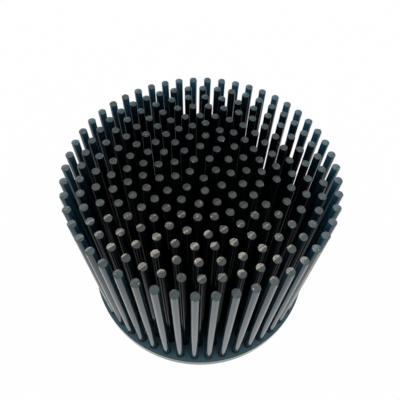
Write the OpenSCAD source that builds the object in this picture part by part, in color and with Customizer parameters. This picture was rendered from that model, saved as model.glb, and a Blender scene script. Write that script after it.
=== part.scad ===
// Round pin fin heat sink, forged in one piece from aluminium and anodised black.
// A disc carries rings of straight round pins, and its flat underside takes the hot part.
// Millimetres. The origin is the centre of the underside, and the pins point along +Z.

/* [Base plate] */
// Thickness of the base plate
base_t = 5; // [3:0.5:12]
// Plain margin of the plate outside the feet of the outermost pins
rim_margin = 1.35; // [0.9:0.05:10]
// Edge break round the top of the rim
rim_top_break = 0.3; // [0.1:0.05:0.6]
// Edge break round the underside
rim_bottom_break = 0.4; // [0.1:0.05:1]

/* [Pins] */
// Overall height, from the underside to the flat tips of the pins
overall_h = 80; // [25:1:150]
// Diameter of a pin
pin_d = 3.3; // [2:0.1:4.5]
// Fillet round the foot of a pin
root_fillet = 0.5; // [0.2:0.05:0.5]
// Edge break round the tip of a pin
tip_break = 0.2; // [0.05:0.05:0.6]

/* [Pin pattern] */
// Radius of the innermost ring of pins, at the pin centres
first_ring_r = 5.3; // [4.7:0.1:12]
// Radial distance from one ring to the next
ring_pitch = 5.9; // [5.6:0.1:12]
// Pins on each ring, the innermost ring first
pins_on_ring = [5, 10, 16, 24, 28, 32, 34, 44, 50]; // [3:1:60]
// Direction of the ray on which every ring has its first pin, from the X axis
first_pin_angle = 90; // [0:1:359]
// Ring of the one seat that has no pin, the innermost ring being 1
empty_seat_ring = 5; // [1:1:9]
// Place of that seat on its ring, counted anticlockwise from the first pin, which is 0
empty_seat_place = 16; // [0:1:27]

/* [Bent pins] */
// How far the tips of the knocked pins stand off their true place
bent_tip_shift = 1.5; // [0:0.1:2]

/* [Screw holes] */
// Distance between the two tapped holes in the underside
screw_spacing = 35; // [20:0.5:80]
// Core diameter of a tapped hole, for an M3 thread
screw_core_d = 2.5; // [2:0.05:4.2]
// Metal left above the end of a tapped hole
screw_floor = 1; // [0.5:0.1:2]
// Edge break round the mouth of a tapped hole
screw_mouth_break = 0.3; // [0.1:0.05:0.5]

/* [Hidden] */
$fn = 48;

// Depth to which a pin reaches into the plate
foot_depth = 1;
// The fillet starts this far under the plate's face, so that it meets the face at an angle
foot_sink = 0.1;
// Points of the fillet's arc, in degrees from the pin's wall, from the plate upwards
fillet_arc = [75, 50, 25, 0];
// Overshoot of the cuts past the faces that they open
cut_over = 0.5;

pin_r = pin_d / 2;
pin_h = overall_h - base_t;
ring_count = len(pins_on_ring);
outer_ring_r = first_ring_r + (ring_count - 1) * ring_pitch;
base_r = outer_ring_r + pin_r + rim_margin;
screw_core_r = screw_core_d / 2;
screw_depth = base_t - screw_floor;

// Knocked pins: ring, place on the ring, and the way the tip has gone,
// in degrees anticlockwise from straight outwards
bent_pins = [
    [4, 21, 20],
    [4, 20, 185],
    [5, 11, 35],
];

function ring_r(ring) = first_ring_r + (ring - 1) * ring_pitch;
function place_angle(ring, place) = first_pin_angle + 360 * place / pins_on_ring[ring - 1];
function is_empty(ring, place) = ring == empty_seat_ring && place == empty_seat_place;
function bend_of(ring, place) = [for (b = bent_pins) if (b[0] == ring && b[1] == place) b[2]];

// Disc with a broken edge at the top and at the underside
module base_plate() {
    rotate_extrude()
        polygon([
            [0, 0],
            [base_r - rim_bottom_break, 0],
            [base_r, rim_bottom_break],
            [base_r, base_t - rim_top_break],
            [base_r - rim_top_break, base_t],
            [0, base_t],
        ]);
}

// Half section of a pin above the plate, of its foot in the plate and of the fillet between them
module pin_section() {
    foot = [
        [0, -foot_depth],
        [pin_r + root_fillet * (1 - cos(fillet_arc[0])), -foot_depth],
    ];
    fillet = [
        for (angle = fillet_arc)
            [
                pin_r + root_fillet * (1 - cos(angle)),
                root_fillet * (1 - sin(angle)) - foot_sink,
            ],
    ];
    tip = [
        [pin_r, pin_h - tip_break],
        [pin_r - tip_break, pin_h],
        [0, pin_h],
    ];
    polygon(concat(foot, fillet, tip));
}

// One straight pin with its foot on the origin
module pin() {
    rotate_extrude()
        pin_section();
}

// A pin knocked over from its foot, the tip going off in the given direction
module bent_pin(direction) {
    lean = atan(bent_tip_shift / pin_h);
    rotate([0, 0, direction])
        rotate([0, lean, 0])
            pin();
}

// All the rings of pins, standing on the plate
module pin_field() {
    for (ring = [1 : ring_count])
        for (place = [0 : pins_on_ring[ring - 1] - 1])
            if (!is_empty(ring, place))
                rotate([0, 0, place_angle(ring, place)])
                    translate([ring_r(ring), 0, base_t])
                        if (len(bend_of(ring, place)) > 0)
                            bent_pin(bend_of(ring, place)[0]);
                        else
                            pin();
}

// Core of one blind tapped hole, with a broken edge at its mouth
module screw_hole() {
    translate([0, 0, -cut_over])
        cylinder(r = screw_core_r, h = screw_depth + cut_over);
    rotate_extrude()
        polygon([
            [0, -cut_over],
            [screw_core_r + screw_mouth_break + cut_over, -cut_over],
            [screw_core_r, screw_mouth_break],
            [0, screw_mouth_break],
        ]);
}

module pin_fin_heat_sink() {
    color([0.09, 0.1, 0.11])
        difference() {
            union() {
                base_plate();
                pin_field();
            }
            for (side = [-1, 1])
                translate([side * screw_spacing / 2, 0, 0])
                    screw_hole();
        }
}

pin_fin_heat_sink();
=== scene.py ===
# Looks of a round pin fin heat sink: one forged body of aluminium, anodised black.
import math

import bpy
from mathutils import Matrix, Vector


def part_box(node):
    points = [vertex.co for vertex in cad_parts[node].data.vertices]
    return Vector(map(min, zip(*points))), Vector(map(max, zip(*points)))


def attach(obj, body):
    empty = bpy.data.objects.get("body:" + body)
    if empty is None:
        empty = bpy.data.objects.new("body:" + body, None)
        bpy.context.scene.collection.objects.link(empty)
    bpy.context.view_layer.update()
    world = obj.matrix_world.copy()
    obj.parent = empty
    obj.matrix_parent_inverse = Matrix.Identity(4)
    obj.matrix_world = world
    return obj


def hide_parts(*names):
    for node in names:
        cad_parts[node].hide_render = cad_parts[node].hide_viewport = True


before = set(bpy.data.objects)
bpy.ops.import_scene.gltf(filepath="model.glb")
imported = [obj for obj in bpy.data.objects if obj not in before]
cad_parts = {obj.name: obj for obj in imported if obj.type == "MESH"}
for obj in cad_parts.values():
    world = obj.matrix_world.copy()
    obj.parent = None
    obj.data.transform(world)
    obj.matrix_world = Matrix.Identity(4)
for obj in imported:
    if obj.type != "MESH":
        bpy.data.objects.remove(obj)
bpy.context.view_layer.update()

MM = 0.001
NODE = "pin_fin_heat_sink"
low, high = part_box(NODE)

# Sockets of a Mix node that mixes colours, by number, because its other kinds have the same names
FACTOR = 0
COLOUR_A = 6
COLOUR_B = 7
MIXED = 2

# Middle range of a noise, which holds nearly all its values
NOISE_LOW = 0.3
NOISE_HIGH = 0.7

# Sizes of the body, in metres, with the overall ones taken from the frame.
# The breaks at the tips and round the underside are smaller than the solid's, so that these edges look sharp
overall_height = high.z
base_radius = (high.x - low.x + high.y - low.y) / 4
base_thickness = 5 * MM
rim_top_break = 0.3 * MM
rim_bottom_break = 0.12 * MM
pin_diameter = 3.3 * MM
pin_height = overall_height - base_thickness
root_fillet = 0.5 * MM
tip_break = 0.08 * MM
first_ring_radius = 5.3 * MM
ring_pitch = 5.9 * MM
screw_spacing = 35 * MM
screw_core_diameter = 2.5 * MM
screw_depth = 4 * MM
screw_mouth_break = 0.3 * MM

# Sides of the round shapes, few on a pin because there are many pins
pin_sides = 16
base_sides = 160
hole_sides = 32

# How far an end spreads for each length that it grows by: an edge break, the flare of a foot, a countersink
break_spread = -1
flare_spread = 0.6
countersink_spread = 1

# Pattern of the pins: every ring starts with a pin on the +Y side and goes on anticlockwise
pins_on_ring = [5, 10, 16, 24, 28, 32, 34, 44, 50]
outer_ring_radius = first_ring_radius + (len(pins_on_ring) - 1) * ring_pitch
first_pin_angle = 90
# Ring and place of the one seat that has no pin
empty_seat = (5, 16)
# Ring and place of each knocked pin, with the way its tip went, in degrees from straight outwards
bent_pins = {(4, 21): 20, (4, 20): 185, (5, 11): 35}
bent_tip_shift = 1.5 * MM
# The tips of the outermost ring stand this far out, and further on the side that handling has pushed
splay = 0.15 * MM
pushed_splay = 0.6 * MM
pushed_side_angle = 150

# Marks left by the saw that cut the pins to length: it ran along X and came from the +Y side,
# so that half of a tip is sawn level, and the half towards -Y tore off and falls away
saw_depth = 0.022 * MM
saw_period = 0.9 * MM
tear_depth = 0.27 * MM
tear_wander = 0.6 * MM
burr = 0.3 * MM
seed = 7
# The ridges are drawn out along X, and a point within this many edge breaks of the top is sawn
ridge_stretch = (0.18, 1.0, 0.0)
sawn_reach = 1.5

# Limits by which a face gets its finish: how far its normal points up or down if the face is level,
# and how far it leans towards -Y if the face is torn
level_limit = 0.92
torn_limit = -0.05
# Edges are creases past this angle, in degrees
crease_angle = 27

# Camera: it stands in front of the body, looks down on it and is slightly rolled
camera_azimuth = -42.146
camera_distance = 99.932 * MM
camera_height = 201.233 * MM
camera_turn = 0.362
camera_pitch = 55.198
camera_roll = 1.575
camera_sensor = 36
camera_lens = 36.073

# Lamp: a long warm strip high up behind the body, aimed at the tips in front of the middle
lamp_length = 420 * MM
lamp_width = 32 * MM
lamp_energy = 0.2
lamp_colour = (1.0, 0.9, 0.76)
lamp_elevation = 63.4
lamp_distance = 600 * MM
lamp_aim = 38 * MM


def linear(hex_colour):
    """Turns an sRGB hex colour into linear red, green, blue and alpha."""
    parts = [int(hex_colour[i:i + 2], 16) / 255 for i in (1, 3, 5)]
    return [p / 12.92 if p <= 0.04045 else ((p + 0.055) / 1.055) ** 2.4 for p in parts] + [1]


def add_node(tree, kind, inputs=None, **settings):
    """Adds a node with its settings, and fills its inputs with links or plain values."""
    node = tree.nodes.new(kind)
    for name, value in settings.items():
        setattr(node, name, value)
    for name, value in (inputs or {}).items():
        if isinstance(value, bpy.types.NodeSocket):
            tree.links.new(value, node.inputs[name])
        else:
            node.inputs[name].default_value = value
    return node


def new_material(name):
    """Makes an empty node material and returns it with its tree and its output node."""
    material = bpy.data.materials.new(name)
    material.use_nodes = True
    tree = material.node_tree
    tree.nodes.clear()
    return material, tree, add_node(tree, "ShaderNodeOutputMaterial")


def fill_ramp(node, stops):
    """Gives a colour ramp its stops, each a position and a linear colour."""
    ramp = node.color_ramp
    ramp.interpolation = "EASE"
    while len(ramp.elements) < len(stops):
        ramp.elements.new(1)
    for element, (position, colour) in zip(ramp.elements, stops):
        element.position = position
        element.color = colour


def radial_colour(tree, where, stops):
    """Colour that changes with the distance from the axis.
    Each stop is a share of the base radius and a hex colour."""
    flat_place = add_node(tree, "ShaderNodeVectorMath", {0: where, 1: (1, 1, 0)}, operation="MULTIPLY")
    radius = add_node(tree, "ShaderNodeVectorMath", {
        0: flat_place.outputs["Vector"],
    }, operation="LENGTH")
    share = add_node(tree, "ShaderNodeMath", {
        0: radius.outputs["Value"], 1: base_radius,
    }, operation="DIVIDE")
    ramp = add_node(tree, "ShaderNodeValToRGB", {"Fac": share.outputs[0]})
    fill_ramp(ramp, [(position, linear(colour)) for position, colour in stops])
    return ramp.outputs["Color"]


def drawn_wall(name, ior, smooth, rough):
    """Black anodised aluminium as forged: a dyed oxide under a clear hard skin.
    The colour is painted light by radius: near black inside as painted shade, and a painted blue glow
    on the two outer rings. The skin mirrors pale surroundings at a grazing look, and draw lines from the die
    run along the pins."""
    material, tree, output = new_material(name)
    where = add_node(tree, "ShaderNodeTexCoord").outputs["Object"]

    # Draw lines about 0.5 mm apart, stretched along the pins
    line_size = 0.5 * MM
    line_length = 30 * MM
    along = add_node(tree, "ShaderNodeMapping", {
        "Vector": where,
        "Scale": (1 / line_size, 1 / line_size, 1 / line_length),
    })
    lines = add_node(tree, "ShaderNodeTexNoise", {
        "Vector": along.outputs["Vector"], "Scale": 1, "Detail": 3,
    })
    drawn = add_node(tree, "ShaderNodeMapRange", {
        "Value": lines.outputs["Fac"],
        "From Min": NOISE_LOW,
        "From Max": NOISE_HIGH,
        "To Min": smooth,
        "To Max": rough,
    })

    # Cloudy dye and fine grain of the oxide, drawn coarser than the real grain so that it shows
    cloud_size = 9 * MM
    grain_size = 0.35 * MM
    clouds = add_node(tree, "ShaderNodeTexNoise", {"Vector": where, "Scale": 1 / cloud_size, "Detail": 2})
    grain = add_node(tree, "ShaderNodeTexNoise", {"Vector": where, "Scale": 1 / grain_size, "Detail": 2})
    cloudy = add_node(tree, "ShaderNodeMapRange", {
        "Value": clouds.outputs["Fac"],
        "From Min": NOISE_LOW,
        "From Max": NOISE_HIGH,
        "To Min": 0.8,
        "To Max": 1.2,
    })
    # Painted light by radius: near black inside as painted shade, and a painted blue glow on the two outer
    # rings, strongest on the inner sides of their pins
    base_tone = radial_colour(tree, where, [
        (0.75, "#060a0d"),
        (0.81, "#10222b"),
        (0.87, "#080e12"),
        (0.9, "#0a1216"),
        (0.917, "#2d5264"),
        (0.94, "#223f4c"),
        (0.96, "#182c36"),
        (0.976, "#1b3138"),
    ])
    clouded = add_node(tree, "ShaderNodeMix", {
        FACTOR: 1.0, COLOUR_A: base_tone, COLOUR_B: cloudy.outputs["Result"],
    }, data_type="RGBA", blend_type="MULTIPLY")

    # Painted shade at the feet of the pins: the lowest centimetre of a wall, just above the plate, is darker
    height = add_node(tree, "ShaderNodeSeparateXYZ", {"Vector": where}).outputs["Z"]
    height_share = add_node(tree, "ShaderNodeMath", {0: height, 1: overall_height}, operation="DIVIDE")
    painted_foot_shade = add_node(tree, "ShaderNodeValToRGB", {"Fac": height_share.outputs[0]})
    foot_share = base_thickness / overall_height
    fill_ramp(painted_foot_shade, [
        (0.9 * foot_share, (1, 1, 1, 1)),
        (foot_share, (0.42, 0.42, 0.42, 1)),
        (3 * foot_share, (1, 1, 1, 1)),
    ])
    tone = add_node(tree, "ShaderNodeMix", {
        FACTOR: 1.0, COLOUR_A: clouded.outputs[MIXED], COLOUR_B: painted_foot_shade.outputs["Color"],
    }, data_type="RGBA", blend_type="MULTIPLY")

    relief = add_node(tree, "ShaderNodeMath", {
        0: lines.outputs["Fac"], 1: grain.outputs["Fac"],
    }, operation="ADD")
    bump = add_node(tree, "ShaderNodeBump", {
        "Height": relief.outputs[0], "Strength": 0.12, "Distance": 0.01 * MM,
    })
    shader = add_node(tree, "ShaderNodeBsdfPrincipled", {
        "Base Color": tone.outputs[MIXED],
        "Roughness": drawn.outputs["Result"],
        "Normal": bump.outputs["Normal"],
        "IOR": ior,
    })
    tree.links.new(shader.outputs["BSDF"], output.inputs["Surface"])
    return material


def forged_plate():
    """Black anodised aluminium on the plate between the pins.
    It is pressed, not drawn, so it is duller than the walls. Its colour is painted light: palest and bluest
    at the rim as a painted glow, and near black between the pins as painted shade."""
    material, tree, output = new_material("pressed_anodised_aluminium")
    where = add_node(tree, "ShaderNodeTexCoord").outputs["Object"]
    grain_size = 0.5 * MM
    grain = add_node(tree, "ShaderNodeTexNoise", {"Vector": where, "Scale": 1 / grain_size, "Detail": 3})
    rough = add_node(tree, "ShaderNodeMapRange", {
        "Value": grain.outputs["Fac"],
        "From Min": NOISE_LOW,
        "From Max": NOISE_HIGH,
        "To Min": 0.42,
        "To Max": 0.58,
    })
    bump = add_node(tree, "ShaderNodeBump", {
        "Height": grain.outputs["Fac"], "Strength": 0.3, "Distance": 0.03 * MM,
    })
    # The colour by radius is painted light: near black between the pins as painted shade, and a pale blue
    # painted glow at the rim
    shader = add_node(tree, "ShaderNodeBsdfPrincipled", {
        "Base Color": radial_colour(tree, where, [(0.7, "#070b0e"), (1, "#4b656d")]),
        "Roughness": rough.outputs["Result"],
        "Normal": bump.outputs["Normal"],
        "IOR": 1.5,
    })
    tree.links.new(shader.outputs["BSDF"], output.inputs["Surface"])
    return material


def sawn_tip(name, stops, roughness, specular, depth):
    """Black anodised aluminium on a sawn face: the cut metal scatters more light than the drawn walls,
    so the tips are dark grey with lighter and darker streaks along the saw's way."""
    material, tree, output = new_material(name)
    where = add_node(tree, "ShaderNodeTexCoord").outputs["Object"]

    # Ridges across the tip, long along the saw's way
    ridge_length = 5 * MM
    stretched = add_node(tree, "ShaderNodeMapping", {
        "Vector": where,
        "Scale": (1 / ridge_length, 1 / saw_period, 0),
    })
    ridges = add_node(tree, "ShaderNodeTexNoise", {
        "Vector": stretched.outputs["Vector"], "Scale": 1, "Detail": 2,
    })
    streaks = add_node(tree, "ShaderNodeMapRange", {
        "Value": ridges.outputs["Fac"],
        "From Min": 0.35,
        "From Max": 0.65,
        "To Min": 0.8,
        "To Max": 1.2,
    })
    # The colour by radius from the stops is painted light: the tips grow paler and bluer outwards as a
    # painted glow
    streaked = add_node(tree, "ShaderNodeMix", {
        FACTOR: 1.0, COLOUR_A: radial_colour(tree, where, stops), COLOUR_B: streaks.outputs["Result"],
    }, data_type="RGBA", blend_type="MULTIPLY")

    # A few small nicks through the film, down to bare metal
    nick_size = 0.7 * MM
    specks = add_node(tree, "ShaderNodeTexNoise", {"Vector": where, "Scale": 1 / nick_size, "Detail": 0})
    nicks = add_node(tree, "ShaderNodeMapRange", {
        "Value": specks.outputs["Fac"], "From Min": 0.8, "From Max": 0.84,
    })
    tone = add_node(tree, "ShaderNodeMix", {
        FACTOR: nicks.outputs["Result"], COLOUR_A: streaked.outputs[MIXED], COLOUR_B: linear("#d9d6d0"),
    }, data_type="RGBA")

    bump = add_node(tree, "ShaderNodeBump", {
        "Height": ridges.outputs["Fac"], "Strength": 1, "Distance": depth,
    })
    shader = add_node(tree, "ShaderNodeBsdfPrincipled", {
        "Base Color": tone.outputs[MIXED],
        "Metallic": nicks.outputs["Result"],
        "Roughness": roughness,
        "Normal": bump.outputs["Normal"],
        "IOR": 1.77,
        "Specular IOR Level": specular,
    })
    tree.links.new(shader.outputs["BSDF"], output.inputs["Surface"])
    return material


def turned_underside():
    """Black anodised aluminium on the face that takes the hot part.
    It is turned flat, so rings run round the middle. They are drawn coarser than real ones, to show."""
    material, tree, output = new_material("turned_anodised_aluminium")
    where = add_node(tree, "ShaderNodeTexCoord").outputs["Object"]
    ring_pitch_seen = 1.5 * MM
    rings = add_node(tree, "ShaderNodeTexWave", {
        "Vector": where,
        "Scale": math.pi / 10 / ring_pitch_seen,
        "Distortion": 0.4,
        "Detail": 2,
    }, wave_type="RINGS", rings_direction="Z")
    base_tone = add_node(tree, "ShaderNodeMix", {
        FACTOR: rings.outputs["Fac"], COLOUR_A: linear("#07090b"), COLOUR_B: linear("#262d32"),
    }, data_type="RGBA")
    smudge_size = 18 * MM
    smudges = add_node(tree, "ShaderNodeTexNoise", {"Vector": where, "Scale": 1 / smudge_size, "Detail": 3})
    rough = add_node(tree, "ShaderNodeMapRange", {
        "Value": smudges.outputs["Fac"],
        "From Min": NOISE_LOW,
        "From Max": NOISE_HIGH,
        "To Min": 0.3,
        "To Max": 0.45,
    })
    bump = add_node(tree, "ShaderNodeBump", {
        "Height": rings.outputs["Fac"], "Strength": 0.5, "Distance": 0.02 * MM,
    })
    shader = add_node(tree, "ShaderNodeBsdfPrincipled", {
        "Base Color": base_tone.outputs[MIXED],
        "Roughness": rough.outputs["Result"],
        "Normal": bump.outputs["Normal"],
        "IOR": 1.45,
    })
    tree.links.new(shader.outputs["BSDF"], output.inputs["Surface"])
    return material


def seat_mesh():
    """One point for each pin, on the plate's face, with the shift of the pin's tip as an attribute."""
    points = []
    shifts = []
    for ring, count in enumerate(pins_on_ring, start=1):
        radius = first_ring_radius + (ring - 1) * ring_pitch
        for place in range(count):
            if (ring, place) == empty_seat:
                continue
            angle = math.radians(first_pin_angle + 360 * place / count)
            points.append((radius * math.cos(angle), radius * math.sin(angle), base_thickness))
            pushed = max(0, math.cos(angle - math.radians(pushed_side_angle)))
            shift = (splay + pushed_splay * pushed) * ring / len(pins_on_ring)
            way = angle
            if (ring, place) in bent_pins:
                shift = bent_tip_shift
                way = angle + math.radians(bent_pins[ring, place])
            shifts.append(Vector((math.cos(way), math.sin(way), 0)) * shift)
    mesh = bpy.data.meshes.new("pin_seats")
    mesh.from_pydata(points, [], [])
    attribute = mesh.attributes.new("tip_shift", "FLOAT_VECTOR", "POINT")
    for item, shift in zip(attribute.data, shifts):
        item.vector = shift
    return mesh


def grown_end(tree, mesh, faces, length, radius, spread):
    """Grows the end faces of a round shape by a length, and spreads the new end by a share of that length.
    Returns the shape and the choice of its new end faces."""
    grown = add_node(tree, "GeometryNodeExtrudeMesh", {
        "Mesh": mesh,
        "Selection": faces,
        "Offset Scale": length,
        "Individual": False,
    }, mode="FACES")
    share = add_node(tree, "ShaderNodeMath", {0: length, 1: radius}, operation="DIVIDE")
    scale = add_node(tree, "ShaderNodeMath", {
        0: share.outputs[0], 1: spread, 2: 1.0,
    }, operation="MULTIPLY_ADD")
    spread_end = add_node(tree, "GeometryNodeScaleElements", {
        "Geometry": grown.outputs["Mesh"],
        "Selection": grown.outputs["Top"],
        "Scale": scale.outputs[0],
    }, domain="FACE")
    return spread_end.outputs["Geometry"], grown.outputs["Top"]


def one_pin(tree, given, pin_radius):
    """One pin that stands on the origin: a shank, a broken edge at the tip, a flare and a sunk foot.
    Its points hold whether they are on the sawn tip, and how far they lie across the saw's way."""
    ends = add_node(tree, "ShaderNodeMath", {
        0: given["Root Fillet"], 1: given["Tip Break"],
    }, operation="ADD")
    shank_height = add_node(tree, "ShaderNodeMath", {
        0: given["Pin Height"], 1: ends.outputs[0],
    }, operation="SUBTRACT")
    shank = add_node(tree, "GeometryNodeMeshCylinder", {
        "Vertices": given["Pin Sides"],
        "Side Segments": 1,
        "Fill Segments": 2,
        "Radius": pin_radius,
        "Depth": shank_height.outputs[0],
    }, fill_type="TRIANGLE_FAN")
    tipped, _ = grown_end(
        tree, shank.outputs["Mesh"], shank.outputs["Top"], given["Tip Break"], pin_radius, break_spread)
    flared, flare_end = grown_end(
        tree, tipped, shank.outputs["Bottom"], given["Root Fillet"], pin_radius, flare_spread)
    foot = add_node(tree, "GeometryNodeExtrudeMesh", {
        "Mesh": flared,
        "Selection": flare_end,
        "Offset Scale": given["Root Fillet"],
        "Individual": False,
    }, mode="FACES")
    shank_middle = add_node(tree, "ShaderNodeMath", {
        0: shank_height.outputs[0], 1: 0.5, 2: given["Root Fillet"],
    }, operation="MULTIPLY_ADD")
    lift = add_node(tree, "ShaderNodeCombineXYZ", {"Z": shank_middle.outputs[0]})
    pin = add_node(tree, "GeometryNodeTransform", {
        "Geometry": foot.outputs["Mesh"], "Translation": lift.outputs["Vector"],
    })

    axes = add_node(tree, "ShaderNodeSeparateXYZ", {
        "Vector": add_node(tree, "GeometryNodeInputPosition").outputs["Position"],
    })
    near_tip = add_node(tree, "ShaderNodeMath", {
        0: given["Tip Break"], 1: -sawn_reach, 2: given["Pin Height"],
    }, operation="MULTIPLY_ADD")
    is_sawn = add_node(tree, "FunctionNodeCompare", {
        "A": axes.outputs["Z"], "B": near_tip.outputs[0],
    }, data_type="FLOAT", operation="GREATER_THAN")
    marked = add_node(tree, "GeometryNodeStoreNamedAttribute", {
        "Geometry": pin.outputs["Geometry"], "Name": "sawn", "Value": is_sawn.outputs["Result"],
    }, data_type="BOOLEAN", domain="POINT")
    measured = add_node(tree, "GeometryNodeStoreNamedAttribute", {
        "Geometry": marked.outputs["Geometry"], "Name": "across", "Value": axes.outputs["Y"],
    }, data_type="FLOAT", domain="POINT")
    return measured.outputs["Geometry"]


def pin_field(tree, given, pin):
    """A pin on each seat, leaning as its tip is shifted, with a chance place for the start of its tear."""
    shift = add_node(tree, "GeometryNodeInputNamedAttribute", {
        "Name": "tip_shift",
    }, data_type="FLOAT_VECTOR")
    upright = add_node(tree, "ShaderNodeCombineXYZ", {"Z": given["Pin Height"]})
    axis = add_node(tree, "ShaderNodeVectorMath", {
        0: shift.outputs["Attribute"], 1: upright.outputs["Vector"],
    }, operation="ADD")
    lean = add_node(tree, "FunctionNodeAlignRotationToVector", {"Vector": axis.outputs["Vector"]}, axis="Z")
    pins = add_node(tree, "GeometryNodeInstanceOnPoints", {
        "Points": given["Seats"],
        "Instance": pin,
        "Rotation": lean.outputs["Rotation"],
    })
    wander_back = add_node(tree, "ShaderNodeMath", {
        0: given["Tear Wander"], 1: -1.0,
    }, operation="MULTIPLY")
    any_start = add_node(tree, "FunctionNodeRandomValue", {
        "Min": wander_back.outputs[0], "Max": given["Tear Wander"], "Seed": given["Seed"],
    }, data_type="FLOAT")
    varied = add_node(tree, "GeometryNodeStoreNamedAttribute", {
        "Geometry": pins.outputs["Instances"], "Name": "tear_start", "Value": any_start.outputs["Value"],
    }, data_type="FLOAT", domain="INSTANCE")
    real = add_node(tree, "GeometryNodeRealizeInstances", {"Geometry": varied.outputs["Geometry"]})
    return real.outputs["Geometry"]


def sawn_pins(tree, given, pin_radius, pins):
    """Gives the tips their saw marks: ridges and a tear that go downwards only, so the height holds,
    and lumps that push the edge sideways."""
    place = add_node(tree, "GeometryNodeInputPosition").outputs["Position"]
    ridge_place = add_node(tree, "ShaderNodeVectorMath", {
        0: place, 1: ridge_stretch,
    }, operation="MULTIPLY")
    ridge_count = add_node(tree, "ShaderNodeMath", {0: 1.0, 1: given["Saw Period"]}, operation="DIVIDE")
    ridges = add_node(tree, "ShaderNodeTexNoise", {
        "Vector": ridge_place.outputs["Vector"],
        "W": given["Seed"],
        "Scale": ridge_count.outputs[0],
        "Detail": 1,
    }, noise_dimensions="4D")
    cut = add_node(tree, "ShaderNodeMath", {
        0: ridges.outputs["Fac"], 1: given["Saw Depth"],
    }, operation="MULTIPLY")

    # The tear deepens from its start to the edge of the tip
    across = add_node(tree, "GeometryNodeInputNamedAttribute", {"Name": "across"}, data_type="FLOAT")
    tear_start = add_node(tree, "GeometryNodeInputNamedAttribute", {
        "Name": "tear_start",
    }, data_type="FLOAT")
    tear_end = add_node(tree, "ShaderNodeMath", {
        0: tear_start.outputs["Attribute"], 1: pin_radius,
    }, operation="SUBTRACT")
    torn_share = add_node(tree, "ShaderNodeMapRange", {
        "Value": across.outputs["Attribute"],
        "From Min": tear_start.outputs["Attribute"],
        "From Max": tear_end.outputs[0],
    })
    depth = add_node(tree, "ShaderNodeMath", {
        0: torn_share.outputs["Result"], 1: given["Tear Depth"], 2: cut.outputs[0],
    }, operation="MULTIPLY_ADD")
    fall = add_node(tree, "ShaderNodeMath", {0: depth.outputs[0], 1: -1.0}, operation="MULTIPLY")

    lumps = add_node(tree, "ShaderNodeTexNoise", {
        "Vector": place,
        "W": given["Seed"],
        "Scale": ridge_count.outputs[0],
        "Detail": 0,
    }, noise_dimensions="4D")
    centred = add_node(tree, "ShaderNodeVectorMath", {
        0: lumps.outputs["Color"], 1: (0.5, 0.5, 0.5),
    }, operation="SUBTRACT")
    wander = add_node(tree, "ShaderNodeVectorMath", {
        0: centred.outputs["Vector"], "Scale": given["Burr"],
    }, operation="SCALE")
    sideways = add_node(tree, "ShaderNodeSeparateXYZ", {"Vector": wander.outputs["Vector"]})
    marks = add_node(tree, "ShaderNodeCombineXYZ", {
        "X": sideways.outputs["X"], "Y": sideways.outputs["Y"], "Z": fall.outputs[0],
    })
    on_tip = add_node(tree, "GeometryNodeInputNamedAttribute", {"Name": "sawn"}, data_type="BOOLEAN")
    sawn = add_node(tree, "GeometryNodeSetPosition", {
        "Geometry": pins,
        "Selection": on_tip.outputs["Attribute"],
        "Offset": marks.outputs["Vector"],
    })
    return sawn.outputs["Geometry"]


def round_plate(tree, given):
    """Round plate with broken edges, its underside at the height of the origin."""
    breaks = add_node(tree, "ShaderNodeMath", {
        0: given["Rim Top Break"], 1: given["Rim Bottom Break"],
    }, operation="ADD")
    rim_height = add_node(tree, "ShaderNodeMath", {
        0: given["Base Thickness"], 1: breaks.outputs[0],
    }, operation="SUBTRACT")
    disc = add_node(tree, "GeometryNodeMeshCylinder", {
        "Vertices": given["Base Sides"],
        "Radius": given["Base Radius"],
        "Depth": rim_height.outputs[0],
    }, fill_type="NGON")
    plate = disc.outputs["Mesh"]
    for face, edge in (("Top", "Rim Top Break"), ("Bottom", "Rim Bottom Break")):
        plate, _ = grown_end(
            tree, plate, disc.outputs[face], given[edge], given["Base Radius"], break_spread)
    rim_middle = add_node(tree, "ShaderNodeMath", {
        0: rim_height.outputs[0], 1: 0.5, 2: given["Rim Bottom Break"],
    }, operation="MULTIPLY_ADD")
    lift = add_node(tree, "ShaderNodeCombineXYZ", {"Z": rim_middle.outputs[0]})
    lifted = add_node(tree, "GeometryNodeTransform", {
        "Geometry": plate, "Translation": lift.outputs["Vector"],
    })
    return lifted.outputs["Geometry"]


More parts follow.
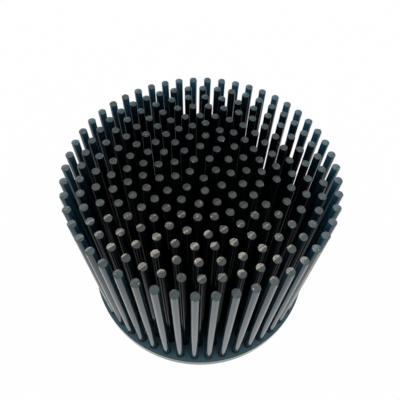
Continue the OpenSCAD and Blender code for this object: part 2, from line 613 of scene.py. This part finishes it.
def screw_cutters(tree, given):
    """Cutters for two blind screw holes in the underside, each with a countersunk mouth."""
    core_radius = add_node(tree, "ShaderNodeMath", {
        0: given["Screw Core Diameter"], 1: 0.5,
    }, operation="MULTIPLY")
    core_height = add_node(tree, "ShaderNodeMath", {
        0: given["Screw Depth"], 1: given["Screw Mouth Break"],
    }, operation="SUBTRACT")
    core = add_node(tree, "GeometryNodeMeshCylinder", {
        "Vertices": given["Hole Sides"],
        "Radius": core_radius.outputs[0],
        "Depth": core_height.outputs[0],
    }, fill_type="NGON")
    # The countersink goes on past the underside for as far again
    mouth_length = add_node(tree, "ShaderNodeMath", {
        0: given["Screw Mouth Break"], 1: 2.0,
    }, operation="MULTIPLY")
    cutter, _ = grown_end(
        tree, core.outputs["Mesh"], core.outputs["Bottom"],
        mouth_length.outputs[0], core_radius.outputs[0], countersink_spread)
    half_spacing = add_node(tree, "ShaderNodeMath", {
        0: given["Screw Spacing"], 1: -0.5,
    }, operation="MULTIPLY")
    core_middle = add_node(tree, "ShaderNodeMath", {
        0: core_height.outputs[0], 1: 0.5, 2: given["Screw Mouth Break"],
    }, operation="MULTIPLY_ADD")
    first_hole = add_node(tree, "ShaderNodeCombineXYZ", {
        "X": half_spacing.outputs[0], "Z": core_middle.outputs[0],
    })
    next_hole = add_node(tree, "ShaderNodeCombineXYZ", {"X": given["Screw Spacing"]})
    hole_seats = add_node(tree, "GeometryNodeMeshLine", {
        "Count": 2,
        "Start Location": first_hole.outputs["Vector"],
        "Offset": next_hole.outputs["Vector"],
    }, mode="OFFSET")
    cutters = add_node(tree, "GeometryNodeInstanceOnPoints", {
        "Points": hole_seats.outputs["Mesh"], "Instance": cutter,
    })
    real = add_node(tree, "GeometryNodeRealizeInstances", {"Geometry": cutters.outputs["Instances"]})
    return real.outputs["Geometry"]


def finished_body(tree, given, body):
    """Smooths the body between its creases, and gives each face its finish by the height of the face,
    the way it looks and its distance from the axis."""
    smooth = add_node(tree, "GeometryNodeSetShadeSmooth", {
        "Geometry": body, "Shade Smooth": True,
    }, domain="FACE")
    edge_angle = add_node(tree, "GeometryNodeInputMeshEdgeAngle").outputs["Unsigned Angle"]
    is_crease = add_node(tree, "FunctionNodeCompare", {
        "A": edge_angle, "B": math.radians(crease_angle),
    }, data_type="FLOAT", operation="GREATER_THAN")
    creased = add_node(tree, "GeometryNodeSetShadeSmooth", {
        "Geometry": smooth.outputs["Geometry"],
        "Selection": is_crease.outputs["Result"],
        "Shade Smooth": False,
    }, domain="EDGE")

    spot = add_node(tree, "ShaderNodeSeparateXYZ", {
        "Vector": add_node(tree, "GeometryNodeInputPosition").outputs["Position"],
    }).outputs
    facing = add_node(tree, "ShaderNodeSeparateXYZ", {
        "Vector": add_node(tree, "GeometryNodeInputNormal").outputs["Normal"],
    }).outputs
    flat_place = add_node(tree, "ShaderNodeCombineXYZ", {"X": spot["X"], "Y": spot["Y"]})
    radius = add_node(tree, "ShaderNodeVectorMath", {
        0: flat_place.outputs["Vector"],
    }, operation="LENGTH")
    tests = {
        "level": (facing["Z"], level_limit, "GREATER_THAN"),
        "under": (facing["Z"], -level_limit, "LESS_THAN"),
        "torn": (facing["Y"], torn_limit, "LESS_THAN"),
        "high": (spot["Z"], given["Pin Height"], "GREATER_THAN"),
        "low": (spot["Z"], given["Rim Bottom Break"], "LESS_THAN"),
        "inside": (radius.outputs["Value"], given["Inner Reach"], "LESS_THAN"),
    }
    is_so = {}
    for name, (value, limit, operation) in tests.items():
        compared = add_node(tree, "FunctionNodeCompare", {
            "A": value, "B": limit,
        }, data_type="FLOAT", operation=operation)
        is_so[name] = compared.outputs["Result"]
    tips = add_node(tree, "FunctionNodeBooleanMath", {
        0: is_so["level"], 1: is_so["high"],
    }, operation="AND")
    torn_tips = add_node(tree, "FunctionNodeBooleanMath", {
        0: tips.outputs["Boolean"], 1: is_so["torn"],
    }, operation="AND")
    underside = add_node(tree, "FunctionNodeBooleanMath", {
        0: is_so["under"], 1: is_so["low"],
    }, operation="AND")
    finished = add_node(tree, "GeometryNodeSetMaterial", {
        "Geometry": creased.outputs["Geometry"], "Material": given["Outer Finish"],
    })
    places = [
        ("Inner Finish", is_so["inside"]),
        ("Plate Finish", is_so["level"]),
        ("Cut Finish", tips.outputs["Boolean"]),
        ("Torn Finish", torn_tips.outputs["Boolean"]),
        ("Underside Finish", underside.outputs["Boolean"]),
    ]
    for finish, chosen in places:
        finished = add_node(tree, "GeometryNodeSetMaterial", {
            "Geometry": finished.outputs["Geometry"], "Selection": chosen, "Material": given[finish],
        })
    return finished.outputs["Geometry"]


def forged_body_tree():
    """Tree that sets a pin on every seat, joins the pins to a round plate and sinks the screw holes."""
    tree = bpy.data.node_groups.new("forged_pin_fin_body", "GeometryNodeTree")
    sockets = [
        ("Seats", "NodeSocketGeometry"),
        ("Pin Diameter", "NodeSocketFloat"),
        ("Pin Height", "NodeSocketFloat"),
        ("Pin Sides", "NodeSocketInt"),
        ("Root Fillet", "NodeSocketFloat"),
        ("Tip Break", "NodeSocketFloat"),
        ("Saw Depth", "NodeSocketFloat"),
        ("Saw Period", "NodeSocketFloat"),
        ("Tear Depth", "NodeSocketFloat"),
        ("Tear Wander", "NodeSocketFloat"),
        ("Burr", "NodeSocketFloat"),
        ("Base Radius", "NodeSocketFloat"),
        ("Base Thickness", "NodeSocketFloat"),
        ("Base Sides", "NodeSocketInt"),
        ("Rim Top Break", "NodeSocketFloat"),
        ("Rim Bottom Break", "NodeSocketFloat"),
        ("Screw Spacing", "NodeSocketFloat"),
        ("Screw Core Diameter", "NodeSocketFloat"),
        ("Screw Depth", "NodeSocketFloat"),
        ("Screw Mouth Break", "NodeSocketFloat"),
        ("Hole Sides", "NodeSocketInt"),
        ("Inner Reach", "NodeSocketFloat"),
        ("Seed", "NodeSocketInt"),
        ("Outer Finish", "NodeSocketMaterial"),
        ("Inner Finish", "NodeSocketMaterial"),
        ("Plate Finish", "NodeSocketMaterial"),
        ("Cut Finish", "NodeSocketMaterial"),
        ("Torn Finish", "NodeSocketMaterial"),
        ("Underside Finish", "NodeSocketMaterial"),
    ]
    for name, kind in sockets:
        tree.interface.new_socket(name, in_out="INPUT", socket_type=kind)
    tree.interface.new_socket("Body", in_out="OUTPUT", socket_type="NodeSocketGeometry")
    given = add_node(tree, "NodeGroupInput").outputs
    pin_radius = add_node(tree, "ShaderNodeMath", {
        0: given["Pin Diameter"], 1: 0.5,
    }, operation="MULTIPLY").outputs[0]

    pins = pin_field(tree, given, one_pin(tree, given, pin_radius))
    joined = add_node(tree, "GeometryNodeMeshBoolean", operation="UNION", solver="MANIFOLD")
    for piece in (round_plate(tree, given), sawn_pins(tree, given, pin_radius, pins)):
        tree.links.new(piece, joined.inputs["Mesh 2"])
    drilled = add_node(tree, "GeometryNodeMeshBoolean", {
        "Mesh 1": joined.outputs["Mesh"], "Mesh 2": screw_cutters(tree, given),
    }, operation="DIFFERENCE", solver="MANIFOLD")
    add_node(tree, "NodeGroupOutput", {"Body": finished_body(tree, given, drilled.outputs["Mesh"])})
    return tree


def forged_heat_sink():
    """Grows the body from its seats and returns it as one plain mesh object."""
    seats = bpy.data.objects.new("pin_seats", seat_mesh())
    bpy.context.scene.collection.objects.link(seats)
    # The walls of the outermost ring mirror more than those inside it, and are a little rougher. The weaker
    # mirror inside is painted shade: a dimmed copy of the same finish for the deep pin field
    outer_wall = drawn_wall("black_anodised_aluminium", ior=1.42, smooth=0.07, rough=0.13)
    inner_wall = drawn_wall("painted_shade_anodised_aluminium", ior=1.11, smooth=0.02, rough=0.04)
    # The torn half of a tip is paler and duller than the cut half. On both halves the colour grows paler and
    # bluer towards the outer rings, which is a painted glow.
    cut_colours = [(0.4, "#232322"), (0.84, "#222726"), (0.95, "#303b3e")]
    cut_half = sawn_tip(
        "saw_cut_anodised_aluminium", cut_colours, roughness=0.16, specular=1, depth=0.04 * MM)
    torn_colours = [(0.4, "#2f2e2b"), (0.62, "#34332e"), (0.84, "#40433f"), (0.95, "#49514d")]
    torn_half = sawn_tip(
        "torn_anodised_aluminium", torn_colours, roughness=0.3, specular=0.42, depth=0.15 * MM)
    values = {
        "Pin Diameter": pin_diameter,
        "Pin Height": pin_height,
        "Pin Sides": pin_sides,
        "Root Fillet": root_fillet,
        "Tip Break": tip_break,
        "Saw Depth": saw_depth,
        "Saw Period": saw_period,
        "Tear Depth": tear_depth,
        "Tear Wander": tear_wander,
        "Burr": burr,
        "Base Radius": base_radius,
        "Base Thickness": base_thickness,
        "Base Sides": base_sides,
        "Rim Top Break": rim_top_break,
        "Rim Bottom Break": rim_bottom_break,
        "Screw Spacing": screw_spacing,
        "Screw Core Diameter": screw_core_diameter,
        "Screw Depth": screw_depth,
        "Screw Mouth Break": screw_mouth_break,
        "Hole Sides": hole_sides,
        "Inner Reach": outer_ring_radius - ring_pitch / 2,
        "Seed": seed,
        "Outer Finish": outer_wall,
        "Inner Finish": inner_wall,
        "Plate Finish": forged_plate(),
        "Cut Finish": cut_half,
        "Torn Finish": torn_half,
        "Underside Finish": turned_underside(),
    }
    grow = seats.modifiers.new("forged_body", "NODES")
    grow.node_group = forged_body_tree()
    for socket in grow.node_group.interface.items_tree:
        if socket.name in values:
            grow[socket.identifier] = values[socket.name]
    grown = seats.evaluated_get(bpy.context.evaluated_depsgraph_get())
    mesh = bpy.data.meshes.new_from_object(grown)
    mesh.name = "forged_heat_sink"
    # The first slot is empty and no face has it
    mesh.materials.pop(index=0)
    bpy.data.objects.remove(seats)
    body = bpy.data.objects.new("forged_heat_sink", mesh)
    bpy.context.scene.collection.objects.link(body)
    return body


def white_floor():
    """Plain white floor. What looks at it sees white with a faint shadow,
    and other light bounces off it as off paper."""
    material, tree, output = new_material("white_paper_sweep")
    path = add_node(tree, "ShaderNodeLightPath").outputs
    looks = add_node(tree, "ShaderNodeMath", {
        0: path["Is Camera Ray"], 1: path["Is Glossy Ray"],
    }, operation="ADD")
    sees = add_node(tree, "ShaderNodeMath", {
        0: looks.outputs[0], 1: path["Is Transmission Ray"],
    }, operation="ADD", use_clamp=True)
    # The rest of what is seen is paper, which takes the shadow
    white_share = 0.98
    share = add_node(tree, "ShaderNodeMath", {0: sees.outputs[0], 1: white_share}, operation="MULTIPLY")
    paper = add_node(tree, "ShaderNodeBsdfDiffuse", {"Color": linear("#eeeeec")})
    white = add_node(tree, "ShaderNodeEmission", {"Color": linear("#ffffff"), "Strength": 1})
    mix = add_node(tree, "ShaderNodeMixShader", {
        0: share.outputs[0], 1: paper.outputs["BSDF"], 2: white.outputs["Emission"],
    })
    tree.links.new(mix.outputs["Shader"], output.inputs["Surface"])

    # The floor lies a little below the underside, so that the two faces don't fight
    half_width = 3
    drop = -0.02 * MM
    corners = [(x * half_width, y * half_width, drop) for x, y in ((-1, -1), (1, -1), (1, 1), (-1, 1))]
    mesh = bpy.data.meshes.new("floor")
    mesh.from_pydata(corners, [], [(0, 1, 2, 3)])
    mesh.materials.append(material)
    floor = bpy.data.objects.new("floor", mesh)
    bpy.context.scene.collection.objects.link(floor)
    return floor


def direction(azimuth, elevation):
    """Unit vector at an azimuth and an elevation in degrees.
    Azimuth 0 points away from the camera, and a positive one to its right."""
    turn = math.radians(camera_azimuth - azimuth)
    rise = math.radians(elevation)
    return Vector((-math.sin(turn) * math.cos(rise), math.cos(turn) * math.cos(rise), math.sin(rise)))


def studio_world():
    """Pale walls all round, white at the foot and bluish above, under a dark ceiling."""
    world = bpy.data.worlds.new("studio")
    world.use_nodes = True
    bpy.context.scene.world = world
    tree = world.node_tree
    tree.nodes.clear()
    where = add_node(tree, "ShaderNodeTexCoord").outputs["Generated"]
    rise = add_node(tree, "ShaderNodeSeparateXYZ", {"Vector": where}).outputs["Z"]
    room = add_node(tree, "ShaderNodeValToRGB", {"Fac": rise})
    # Elevation in degrees, and the light that comes from there
    stops = [
        (28, (1.0, 1.0, 1.0, 1)),
        (36, (0.62, 1.08, 1.4, 1)),
        (58, (0.86, 1.02, 1.08, 1)),
        (70, (0.5, 0.53, 0.53, 1)),
        (82, (0.25, 0.25, 0.25, 1)),
    ]
    fill_ramp(room, [(math.sin(math.radians(elevation)), colour) for elevation, colour in stops])

    # Dark places, as azimuth, elevation, half width and half height in degrees, and colour:
    # the ceiling round the lamp, and an unlit wall below it
    dark_places = [
        (1.5, 63, 17, 16, (0.24, 0.24, 0.23, 1)),
        (0, 51, 16.5, 9.5, (0.2, 0.2, 0.2, 1)),
    ]
    # Shares of the half width and height at which a dark place starts, coming from outside, and is full
    dark_start = 1.3
    dark_full = 0.7
    shade = room.outputs["Color"]
    for azimuth, elevation, half_width, half_height, colour in dark_places:
        side = direction(azimuth + 90, 0) / math.sin(math.radians(half_width))
        up = direction(azimuth, elevation + 90) / math.sin(math.radians(half_height))
        across = add_node(tree, "ShaderNodeVectorMath", {0: where, 1: side}, operation="DOT_PRODUCT")
        along = add_node(tree, "ShaderNodeVectorMath", {0: where, 1: up}, operation="DOT_PRODUCT")
        offset = add_node(tree, "ShaderNodeCombineXYZ", {
            "X": across.outputs["Value"], "Y": along.outputs["Value"],
        })
        distance = add_node(tree, "ShaderNodeVectorMath", {
            0: offset.outputs["Vector"],
        }, operation="LENGTH")
        dark = add_node(tree, "ShaderNodeMapRange", {
            "Value": distance.outputs["Value"], "From Min": dark_start, "From Max": dark_full,
        }, interpolation_type="SMOOTHSTEP")
        shade = add_node(tree, "ShaderNodeMix", {
            FACTOR: dark.outputs["Result"], COLOUR_A: shade, COLOUR_B: colour,
        }, data_type="RGBA").outputs[MIXED]
    background = add_node(tree, "ShaderNodeBackground", {"Color": shade, "Strength": 1})
    output = add_node(tree, "ShaderNodeOutputWorld")
    tree.links.new(background.outputs["Background"], output.inputs["Surface"])


def soft_lamp():
    """Long soft lamp above and behind the body, a little warm."""
    lamp = bpy.data.lights.new("soft_lamp", "AREA")
    lamp.shape = "RECTANGLE"
    lamp.size = lamp_length
    lamp.size_y = lamp_width
    lamp.energy = lamp_energy
    lamp.color = lamp_colour
    holder = bpy.data.objects.new("soft_lamp", lamp)
    bpy.context.scene.collection.objects.link(holder)
    aim = Vector((0, 0, overall_height)) - direction(0, 0) * lamp_aim
    toward = direction(0, lamp_elevation)
    holder.location = aim + toward * lamp_distance
    holder.rotation_mode = "QUATERNION"
    holder.rotation_quaternion = toward.to_track_quat("Z", "Y")


def photo_camera():
    """Camera at the photograph's height, distance and tilt."""
    data = bpy.data.cameras.new("camera")
    data.sensor_width = camera_sensor
    data.lens = camera_lens
    data.clip_start = 1 * MM
    data.clip_end = 20
    camera = bpy.data.objects.new("camera", data)
    bpy.context.scene.collection.objects.link(camera)
    azimuth = math.radians(camera_azimuth)
    camera.location = (
        camera_distance * math.sin(azimuth), -camera_distance * math.cos(azimuth), camera_height,
    )
    turn = Matrix.Rotation(math.radians(camera_azimuth + camera_turn), 4, "Z")
    tilt = Matrix.Rotation(math.radians(90 - camera_pitch), 4, "X")
    roll = Matrix.Rotation(math.radians(camera_roll), 4, "Z")
    camera.rotation_mode = "QUATERNION"
    camera.rotation_quaternion = (turn @ tilt @ roll).to_quaternion()
    bpy.context.scene.camera = camera


body = forged_heat_sink()
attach(body, "root")
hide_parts(NODE)

white_floor()
studio_world()
soft_lamp()
photo_camera()
bpy.context.scene.view_settings.view_transform = "Standard"
